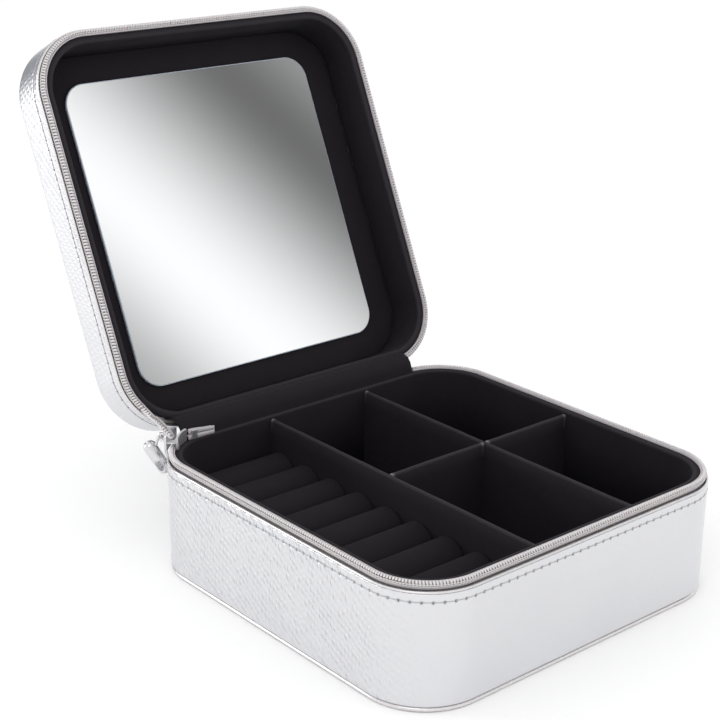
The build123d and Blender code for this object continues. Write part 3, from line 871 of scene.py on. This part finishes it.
def bend_piece(obj, material):
    """Gives a piece between the slider and the lid its material, and bakes its place into its mesh."""
    obj.data.materials.append(material)
    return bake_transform(obj)


bend_piece(tape("bend_tape", bend_track, 0.0, BEND, 5.2 * MM, False), TAPE_CLOTH)
bend_piece(coil("bend_coil", bend_track, 0.0, BEND), NYLON)

# ---------------------------------------------------------------- joined tail, stops, slider and pull
tail_low, tail_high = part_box("zip_tail")
TAIL_MIDDLE = (tail_low.z + tail_high.z) / 2 + 0.1 * MM
TAIL_SINKS = 0.9 * MM


def tail_share(x):
    """How far along the tail a place is, from 0 to 1, with soft ends."""
    return smooth((x - tail_low.x) / (tail_high.x - tail_low.x))


def tail_tapes():
    """The joined end of the zip behind the slider: two tapes side by side over the meshed coils."""
    parts = []
    along = np.linspace(tail_low.x, tail_high.x - 1.5 * MM, 14)
    for way in (-1, 1):
        inner, outer = way * 0.08 * MM, way * 2.15 * MM
        section = [(0.0, inner), (0.0, (inner + outer) / 2), (0.08 * MM, outer), (TAPE, outer), (TAPE, inner)]
        points = np.array([[(x, tail_low.y + 0.25 * MM * share + inset,
                             TAIL_MIDDLE + rise * (1.08 - 0.36 * share) - TAIL_SINKS * share)
                            for inset, rise in section] for x, share in zip(along, tail_share(along))])
        parts.append(grid("strip", points, along, lengths(closed(np.array(section))), False, True, True))
    return dress(joined("tail_tape", parts), TAPE_CLOTH, "base", "tape", "zip_tail")


def tail_coils():
    """The meshed coils behind the tail's tapes."""
    parts = []
    turns = int((tail_high.x - tail_low.x - 2 * MM) / COIL_PITCH)
    round_at = np.arange(turns * COIL_RUN) / COIL_RUN
    phase = round_at * FULL_TURN
    for way, shift in ((-1, 0.0), (1, 0.5)):
        x = tail_low.x + 0.4 * MM + (round_at + shift) * COIL_PITCH
        z = TAIL_MIDDLE + way * (0.62 + 0.70 * np.sin(phase)) * MM - TAIL_SINKS * tail_share(x)
        y = tail_low.y + TAPE + (0.75 + 0.45 * np.cos(phase)) * MM
        centres = points_at(np.clip(x, tail_low.x, tail_high.x - 1.6 * MM), y, z)
        parts.append(tube("half", centres, COIL_WIRE * 0.9))
    return dress(joined("tail_coil", parts), NYLON, "base", "coil")


def hardware(name, node, body, width, material):
    """A metal part: its CAD shape with every sharp edge softened."""
    made = linked(name, frame["nodes"][node].data.copy())
    weld = bmesh.new()
    weld.from_mesh(made.data)
    bmesh.ops.remove_doubles(weld, verts=weld.verts, dist=0.01 * MM)
    bmesh.ops.dissolve_limit(weld, angle_limit=math.radians(1), verts=weld.verts, edges=weld.edges)
    weld.to_mesh(made.data)
    weld.free()
    modified(made, "BEVEL", width=width, segments=3, limit_method="ANGLE", angle_limit=math.radians(40))
    for polygon in made.data.polygons:
        polygon.use_smooth = True
    modified(made, "WEIGHTED_NORMAL", keep_sharp=True)
    return dress(made, material, body, "nickel", node)


tail_tapes()
tail_coils()
hardware("bottom_stop", "zip_bottom_stop", "base", 0.15 * MM, PLATED_WORN)
hardware("top_stop_base", "zip_top_stop_base", "base", 0.2 * MM, PLATED_WORN)
hardware("top_stop_lid", "zip_top_stop_lid", "lid", 0.2 * MM, PLATED_WORN)
hardware("slider", "slider_body", "slider", 0.14 * MM, PLATED_WORN)
hardware("pull_loop", "pull_wire", "pull", 0.05 * MM, PLATED)
hardware("pull_bead", "pull_barrel", "pull", 0.12 * MM, PLATED)


# ================================================================ velvet linings
def lining(name, track, bottom, body, node):
    """A wall lining: velvet wrapped over card, its lip rolled softly beside the zip."""
    foot, top = bottom / MM, LINING_TOP / MM
    inner, out = LINING_IN / MM, LINING_OUT / MM
    corners = [(inner, foot, 0), (inner, top * 0.75 + foot * 0.25, 0), (inner, top, 1.1), (out, top, 0.5),
               (out, top - 2.3, 0), (out + 0.6, top - 2.6, 0), (out + 0.6, foot, 0)]
    profile = soft_line(corners)

    def uneven(distance, inset, height):
        soft = waves(distance, height, 9 * MM)
        return 0.12 * MM * soft * (inset > 4.5 * MM)

    # painted highlight along the lining lip's inner top edge
    wear_and_highlight = 0.07 * smooth((profile[:, 1] - LINING_TOP + 1.0 * MM) / (0.8 * MM)) * (profile[:, 0] > 4.4 * MM)
    made = sweep(name, track, np.arange(0, AROUND, 2.0 * MM), profile, True, uneven, {"wear_and_highlight": wear_and_highlight})
    return dress(made, VELVET, body, "velvet", node)


lining("base_lining", base_track, pad_low.z, "base", "base_wall_lining")
lining("lid_lining", lid_track, mirrored(panel_low.z), "lid", "lid_wall_lining")


def in_corners(x, y):
    """x and y of a square plan, drawn in so that its corners follow the case's rounded ones."""
    over_x, over_y = np.abs(x) - STRAIGHT, np.abs(y) - STRAIGHT
    beyond = (over_x > 0) & (over_y > 0)
    round_share = np.maximum(over_x, over_y) / np.maximum(np.hypot(over_x, over_y), 1e-9)
    share = np.where(beyond, round_share, 1.0)
    return np.sign(x) * (STRAIGHT + over_x * share), np.sign(y) * (STRAIGHT + over_y * share)


def pad(name, low, high, bottom, top, crown, round_edge, node=None):
    """A velvet pad that fills a compartment's floor, between two (x, y) corners: rolled edges, a slightly
    full middle."""
    def spread(start, end):
        inner = np.linspace(start + 2.5 * round_edge, end - 2.5 * round_edge, 22)
        ends = np.array([0, 0.15, 0.5, 1.0, 1.7]) * round_edge
        return np.concatenate([start + ends, inner, end - ends[::-1]])

    x, y = np.meshgrid(spread(low[0], high[0]), spread(low[1], high[1]), indexing="ij")
    from_edge = np.minimum(np.minimum(x - low[0], high[0] - x), np.minimum(y - low[1], high[1] - y))
    rolled = np.sqrt(np.clip(1 - (1 - np.clip(from_edge / round_edge, 0, 1)) ** 2, 0, 1))
    share_x, share_y = (x - low[0]) / (high[0] - low[0]), (y - low[1]) / (high[1] - low[1])
    middle = np.sin(np.pi * share_x) * np.sin(np.pi * share_y)
    lift = top - round_edge * 0.9 * (1 - rolled) + crown * np.sqrt(np.clip(middle, 0, 1))
    lift = np.maximum(lift + 0.12 * MM * waves(x, y, 11 * MM) * rolled, bottom + 0.2 * MM)
    plan = in_corners(x, y)
    points = np.concatenate([points_at(*plan, z).reshape(-1, 3) for z in (lift, bottom)])
    index = np.arange(x.size).reshape(x.shape)
    upper = np.stack([index[:-1, :-1], index[1:, :-1], index[1:, 1:], index[:-1, 1:]], axis=-1).reshape(-1, 4)
    rim = np.concatenate([index[0], index[1:, -1], index[-1, -2::-1], index[-2:0:-1, 0]])
    after = np.roll(rim, -1)
    sides = np.stack([rim, after, after + x.size, rim + x.size], axis=-1)
    faces = np.concatenate([upper, upper[:, ::-1] + x.size, sides])
    made = mesh_object(name, points, faces.tolist(), points[faces.ravel(), :2])
    dress(made, VELVET, "base", "velvet", *([node] if node else []))
    return made


ring_low, ring_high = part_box("divider_ring_bay")
mid_low, mid_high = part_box("divider_middle")
cross_low, cross_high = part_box("divider_cross")
bed_low, bed_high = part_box("ring_bed")
GAP = 0.15 * MM
columns_x = {"inner": (ring_high.x, mid_low.x), "outer": (mid_high.x, INSIDE)}
rows_y = {"front": (-INSIDE, cross_low.y), "rear": (cross_high.y, INSIDE)}
for row_name, (low_y, high_y) in rows_y.items():
    for column_name, (low_x, high_x) in columns_x.items():
        stands_for = "base_floor_pad" if (row_name, column_name) == ("front", "inner") else None
        pad(f"floor_pad_{row_name}_{column_name}", (low_x + GAP, low_y + GAP), (high_x - GAP, high_y - GAP),
            pad_low.z, FLOOR_TOP, 0.35 * MM, 0.9 * MM, stands_for)
pad("ring_bed_pad", (-INSIDE + GAP, -INSIDE + GAP), (ring_low.x - GAP, INSIDE - GAP), bed_low.z,
    bed_high.z - 0.3 * MM, 0.1 * MM, 1.5 * MM, "ring_bed")

# ---------------------------------------------------------------- dividers
DIVIDER_THICK = mid_high.x - mid_low.x
DIVIDER_TOP = mid_high.z
DIVIDER_FOOT = FLOOR_TOP - 1.5 * MM


def divider(name, start, end):
    """Velvet over card between two points of the floor plan: soft top, slight bow, wear at its ends and a
    faint painted highlight along its top.
    """
    start, end = np.array(start), np.array(end)
    length = np.linalg.norm(end - start)
    ahead = (end - start) / length
    aside = np.array([-ahead[1], ahead[0]])
    half = DIVIDER_THICK / 2
    rise = np.linspace(DIVIDER_FOOT, DIVIDER_TOP - half, 9)
    arch = np.radians([30, 60, 90, 120, 150])
    section = [(-half, z) for z in rise]
    section += [(-half * math.cos(t), DIVIDER_TOP - half + half * math.sin(t)) for t in arch]
    section = np.array(section + [(half, z) for z in rise[::-1]])
    ends = np.array([0, 0.3, 0.9, 1.8, 3.0]) * MM
    along = np.concatenate([ends, np.linspace(5 * MM, length - 5 * MM, 30), length - ends[::-1]])
    up = (section[:, 1] - DIVIDER_FOOT) / (DIVIDER_TOP - DIVIDER_FOOT)
    bow = 0.22 * MM * waves(along + start[0] * 3, start[1], 24 * MM)
    bow *= np.sin(np.pi * along / length)
    aside_by = section[:, 0] + bow[:, None] * up
    dip = 0.10 * MM * waves(along * 1.3 + start[1], 0.0, 8 * MM)
    height = section[:, 1] + dip[:, None] * (up > 0.9)
    plan = start + along[:, None, None] * ahead + aside_by[..., None] * aside
    points = np.concatenate([plan, height[..., None]], axis=-1)
    from_end = np.minimum(along, length - along)
    # a faint painted highlight all along the top, and lighter pile from wear at the ends
    wear_and_highlight = (0.10 + 0.9 * smooth(1 - from_end / (1.6 * MM)))[:, None] * smooth((up - 0.965) / 0.03)
    return grid(name, points, along, lengths(closed(section)), False, True, True, {"wear_and_highlight": wear_and_highlight})


mid_x = (mid_low.x + mid_high.x) / 2
ring_x = (ring_low.x + ring_high.x) / 2
cross_y = (cross_low.y + cross_high.y) / 2
ring_divider = divider("ring_bay_divider", (ring_x, ring_low.y), (ring_x, ring_high.y))
dress(ring_divider, VELVET, "base", "velvet", "divider_ring_bay")
middle_divider = divider("middle_divider", (mid_x, mid_low.y), (mid_x, mid_high.y))
dress(middle_divider, VELVET, "base", "velvet", "divider_middle")
halves = [divider("half", (start_x, cross_y), (end_x, cross_y))
          for start_x, end_x in ((cross_low.x, mid_low.x), (mid_high.x, cross_high.x))]
dress(joined("cross_divider", halves), VELVET, "base", "velvet", "divider_cross")

# ---------------------------------------------------------------- ring rolls
ROLLS = 9
ROLL_SIDES = 36


def ring_roll(number):
    """A foam roll under velvet: full and round on top, drawn in at its ends, pressed by its neighbours."""
    low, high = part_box(f"ring_roll_{number}")
    radius = (high.z - low.z) / 2
    axis_z = (high.z + low.z) / 2
    centre_y = (low.y + high.y) / 2
    if number in (1, ROLLS):
        centre_y = math.copysign(INSIDE - radius - 0.2 * MM, centre_y)
    left, right = -INSIDE + 0.3 * MM, ring_low.x - 0.3 * MM
    ends = np.array([0, 0.12, 0.35, 0.7, 1.2, 1.9, 2.8]) * MM
    along = np.concatenate([left + ends, np.linspace(left + 5 * MM, right - 5 * MM, 16), right - ends[::-1]])
    x = np.tile(along[:, None], (1, ROLL_SIDES))
    drawn_in = 0.9 * MM
    from_end = np.minimum(x - left, right - x)
    full = np.sqrt(np.clip(1 - (1 - np.clip(from_end / drawn_in, 0, 1)) ** 2, 0, 1))
    angles = np.arange(ROLL_SIDES) / ROLL_SIDES * FULL_TURN
    swell = 1 + 0.012 * waves(x, centre_y + 9 * MM * np.cos(angles), 12 * MM)
    size = np.maximum((radius - drawn_in * (1 - full)) * swell, radius * 0.3)
    y = centre_y + (size + 0.15 * MM) * np.cos(angles)
    z = axis_z + size * np.sin(angles)
    past_straight = np.clip(np.abs(y) - STRAIGHT, 0, None)
    corner_reach = INSIDE - STRAIGHT - 0.35 * MM
    wall_x = -STRAIGHT - np.sqrt(np.clip(corner_reach ** 2 - past_straight ** 2, 0, None))
    x = np.where(past_straight > 0, np.maximum(x, wall_x + 0.05 * (x - left)), x)
    across = np.arange(ROLL_SIDES + 1) / ROLL_SIDES * FULL_TURN * radius
    made = grid(f"roll_{number}", points_at(x, y, z), along, across, False, True, True)
    dress(made, VELVET, "base", "velvet", f"ring_roll_{number}")
    return made


for number in range(1, ROLLS + 1):
    ring_roll(number)


# ---------------------------------------------------------------- mirror panel and mirror
def panel():
    """The velvet panel behind the mirror, with a soft edge against the lining."""
    inset = LINING_IN - 0.25 * MM
    level, back = panel_low.z, panel_high.z
    steps = [(inset, 0.02, back), (inset, 1.0, back), (inset, 1.0, level + 0.4 * MM),
             (inset + 0.3 * MM, 1.0, level + 0.1 * MM), (inset + 0.9 * MM, 1.0, level),
             (inset + 3 * MM, 1.0, level), (inset + 7 * MM, 1.0, level), (inset, 0.8, level),
             (inset, 0.4, level), (inset, 0.02, level)]
    made = plate("mirror_panel", case_at, np.arange(0, AROUND, 2.0 * MM), steps, opened)
    return dress(made, VELVET, "lid", "velvet", "lid_panel")


def mirror():
    """The mirror: silvered face, a narrow polished bevel and a ground edge."""
    half_x, half_y = (glass_high.x - glass_low.x) / 2, (glass_high.y - glass_low.y) / 2
    centre_y = (glass_high.y + glass_low.y) / 2
    length, at = outline(half_x, half_y, 9.7 * MM)
    face = glass_low.z
    steps = [(0.0, 1.0, glass_high.z), (0.0, 1.0, face + 0.35 * MM), (0.10 * MM, 1.0, face + 0.2 * MM),
             (0.4 * MM, 1.0, face)]
    made = plate("mirror", at, np.arange(0, length, 1.0 * MM), steps,
                 lambda ring: opened(ring + [0, centre_y, 0]))
    dress(made, MIRROR, "lid", "mirror", "mirror_glass")
    made.data.materials.append(GLASS_EDGE)
    facing = made.data.polygons[-1].normal.copy()
    for polygon in made.data.polygons:
        polygon.use_smooth = False
        polygon.material_index = 0 if polygon.normal.dot(facing) > 0.999 else 1
    return made


panel()
mirror()


# ================================================================ strips across the hinge
def across_hinge(name, closed_line, sides, thickness, start, end):
    """A strip that runs from the base at its start to the open lid at its end, between two x. closed_line
    holds the (y, z) places of its middle when the lid is closed, and each turns open by a smoothed share,
    found from where it lies between start and end. Returns the strip and its middle line."""
    start, end = np.array(start), np.array(end)
    share = np.linspace(0, 1, len(closed_line))
    way = end - start
    y_arm, z_arm = (closed_line - np.array([HINGE.y, HINGE.z])).T
    for _ in range(200):
        angle = -OPEN_ANGLE * smooth(share)
        y = HINGE.y + y_arm * np.cos(angle) - z_arm * np.sin(angle)
        z = HINGE.z + y_arm * np.sin(angle) + z_arm * np.cos(angle)
        reached = ((y - start[0]) * way[0] + (z - start[1]) * way[1]) / (way @ way)
        share = 0.8 * share + 0.2 * np.clip(reached, 0, 1)
    middle = np.stack([y, z], axis=-1)
    ahead = np.gradient(middle, axis=0)
    ahead /= np.linalg.norm(ahead, axis=1)[:, None]
    aside = np.stack([-ahead[:, 1], ahead[:, 0]], axis=-1) * thickness / 2
    section = np.concatenate([middle + aside, (middle - aside)[::-1]])
    x = np.linspace(*sides, 60)
    ruffle = 0.06 * MM * waves(x, 0.0, 9 * MM)
    points = np.array([[(a, p[0], p[1] + r) for p in section] for a, r in zip(x, ruffle)])
    return grid(name, points, x, lengths(closed(section)), False, True, True), middle


def arc_line(y_end, y_peak, z_from, z_to, count=25):
    """A line of (y, z) places from one height to another that bulges to y_peak at the middle."""
    t = np.linspace(0, 1, count)
    y = y_end + (y_peak - y_end) * np.sin(np.pi * t) ** 2
    return np.stack([y, z_from + (z_to - z_from) * t], axis=-1)


def opened_place(y, z):
    """A (y, z) place on the closed lid, where it is when the lid stands open."""
    return tuple(opened(np.array([0.0, y, z]))[1:].tolist())


spine_low, spine_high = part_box("base_spine")
spine_y = HALF - SKIN / 2
spine_line = arc_line(spine_y, spine_y, WALL_TOP - 1.0 * MM, LID_RIM + 1.0 * MM)
spine_start = (spine_y, WALL_TOP)
spine_end = opened_place(spine_y, LID_RIM)
spine_sides = (spine_low.x, spine_high.x)
spine, _ = across_hinge("spine_strip", spine_line, spine_sides, 0.8 * MM, spine_start, spine_end)
spine.data.materials.append(SILVER)
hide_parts("base_spine", "lid_spine")
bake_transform(spine)

band_low, band_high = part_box("base_hinge_lining")
BAND_OVERLAP = 7 * MM                    # how far the band reaches down each lining
band_y = HALF - LINING_IN - 0.25 * MM
band_line = arc_line(band_y, band_y + 2.6 * MM, LINING_TOP - BAND_OVERLAP,
                     mirrored(LINING_TOP) + BAND_OVERLAP, 41)
tucked = np.clip(np.abs(band_line[:, 1] - MIDDLE) - (MIDDLE - LINING_TOP) - 1.5 * MM, 0, None)
band_line[:, 0] += 0.12 * tucked
band_start = (band_y, LINING_TOP)
band_end = opened_place(band_y, mirrored(LINING_TOP))
band_sides = (band_low.x - 8.5 * MM, band_high.x)
band, band_middle = across_hinge("hinge_band", band_line, band_sides, 0.5 * MM, band_start, band_end)
band.data.materials.append(VELVET)
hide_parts("base_hinge_lining", "lid_hinge_lining")
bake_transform(band)

# ================================================================ inner nodes that stay as CAD
INNER = {"base_floor_board": BOARD, "base_wall_board": BOARD, "lid_top_board": BOARD, "lid_wall_board": BOARD,
         "lid_foam_pad": FOAM, "mirror_pad": FOAM}
for node, material in INNER.items():
    mesh = frame["nodes"][node].data
    mesh.materials.clear()
    mesh.materials.append(material)

# ================================================================ floor, lights, world and camera
CARD_PLACE = (0.4997, -0.5129, 0.4953)
CARD_REACH = 0.30
CARD_WAY = (-0.951, 0.309, 0.0)          # the way its tones run
CARD_TONES = [(0.0, 0.42), (0.33, 0.99), (0.79, 0.145), (1.0, 0.32)]
CAMERA_TURN = math.radians(-40.816)
CAMERA_RISE = math.radians(22.020)
CAMERA_ROLL = math.radians(0.540)
CAMERA_DISTANCE = 0.67125
CAMERA_LENS = 80.53
CAMERA_SHIFT = (-0.0208, 0.0764)
CAMERA_TARGET = (0.023204, 0.062039, 0.040)


def square(reach):
    """The corners of a square that reaches this far each way."""
    return [(-reach, -reach, 0), (reach, -reach, 0), (reach, reach, 0), (-reach, reach, 0)]


def floor():
    """A plain pale floor that runs far past the case."""
    paper = Shade("floor_paper", Roughness=0.8, Base_Color=(0.97, 0.97, 0.97, 1), Specular_IOR_Level=0.1)
    made = mesh_object("floor", square(12.0), [(0, 1, 2, 3)])
    made.data.materials.append(paper.material)


def card(name, corners, material):
    """A panel beside the stage that only reflections show."""
    made = mesh_object(name, corners, [(0, 1, 2, 3)])
    made.data.materials.append(material)
    made.visible_camera = False
    made.visible_shadow = False
    made.visible_diffuse = False
    return made


def mirror_card():
    """A graded panel, high in front on the right, that the lid's mirror shows."""
    shade = Shade("card_glow", Base_Color=(0, 0, 0, 1), Roughness=1.0, Emission_Strength=1.04)
    across = shade.vector("DOT_PRODUCT", shade.solid(), CARD_WAY)
    across = shade.node("MapRange", {"Value": across, 1: -0.18, 2: 0.18}).outputs[0]
    ramp = shade.node("ValToRGB", {"Fac": across})
    stops = ramp.color_ramp
    stops.interpolation = "EASE"
    for position, _ in CARD_TONES[1:-1]:
        stops.elements.new(position)
    for stop, (_, tone) in zip(stops.elements, CARD_TONES):
        stop.color = (tone, tone, tone, 1)
    made = card("mirror_card", square(CARD_REACH), shade.done(Emission_Color=ramp.outputs["Color"]))
    middle = Vector(CARD_PLACE)
    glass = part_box("mirror_glass")
    facing = (middle - (glass[0] + glass[1]) / 2).normalized()
    aside = facing.cross(Vector((0, 0, 1))).normalized()
    turn = Matrix((aside, aside.cross(facing), facing)).transposed().to_4x4()
    made.matrix_world = Matrix.Translation(middle) @ turn


def rear_card():
    """A grey panel low behind the case, that darkens the silver where it turns away to the rear."""
    grey = Shade("card_grey", Roughness=1.0, Base_Color=(0.02, 0.021, 0.025, 1),
                 Emission_Color=(0.25, 0.27, 0.32, 1), Emission_Strength=0.4)
    corners = [(-0.75, 1.5, 0.0), (0.35, 1.5, 0.0), (0.35, 1.5, 0.85), (-0.75, 1.5, 0.85)]
    card("rear_card", corners, grey.material)


def area_light(name, place, target, size, power):
    """A soft box at a place, facing a target."""
    data = bpy.data.lights.new(name, "AREA")
    data.shape = "RECTANGLE"
    data.size, data.size_y = size
    data.energy = power
    made = linked(name, data)
    made.location = place
    made.rotation_euler = (Vector(target) - Vector(place)).to_track_quat("-Z", "Y").to_euler()


def camera():
    """The photograph's viewpoint."""
    level = math.cos(CAMERA_RISE)
    back = Vector((math.sin(CAMERA_TURN) * level, -math.cos(CAMERA_TURN) * level, math.sin(CAMERA_RISE)))
    data = bpy.data.cameras.new("camera")
    data.lens = CAMERA_LENS
    data.sensor_width = 36.0
    data.shift_x, data.shift_y = CAMERA_SHIFT
    data.clip_end = 60.0
    made = linked("camera", data)
    made.location = Vector(CAMERA_TARGET) + back * CAMERA_DISTANCE
    turn = (-back).to_track_quat("-Z", "Y") @ Matrix.Rotation(CAMERA_ROLL, 4, "Z").to_quaternion()
    made.rotation_euler = turn.to_euler()
    bpy.context.scene.camera = made


world = bpy.data.worlds.new("studio")
world.use_nodes = True
world.node_tree.nodes["Background"].inputs["Color"].default_value = (1.0, 1.0, 1.0, 1)
world.node_tree.nodes["Background"].inputs["Strength"].default_value = 1.0
bpy.context.scene.world = world
bpy.context.scene.view_settings.view_transform = "Standard"

floor()
mirror_card()
rear_card()
area_light("key", (-1.3, -0.9, 1.5), (0, 0, 0.05), (1.2, 1.2), 6.0)
area_light("fill", (1.4, -1.2, 0.9), (0, 0, 0.05), (1.4, 1.0), 3.0)
area_light("scale_glint", (-1.0, 1.1, 0.35), (-0.08, 0, 0.03), (0.4, 0.25), 5.0)
camera()
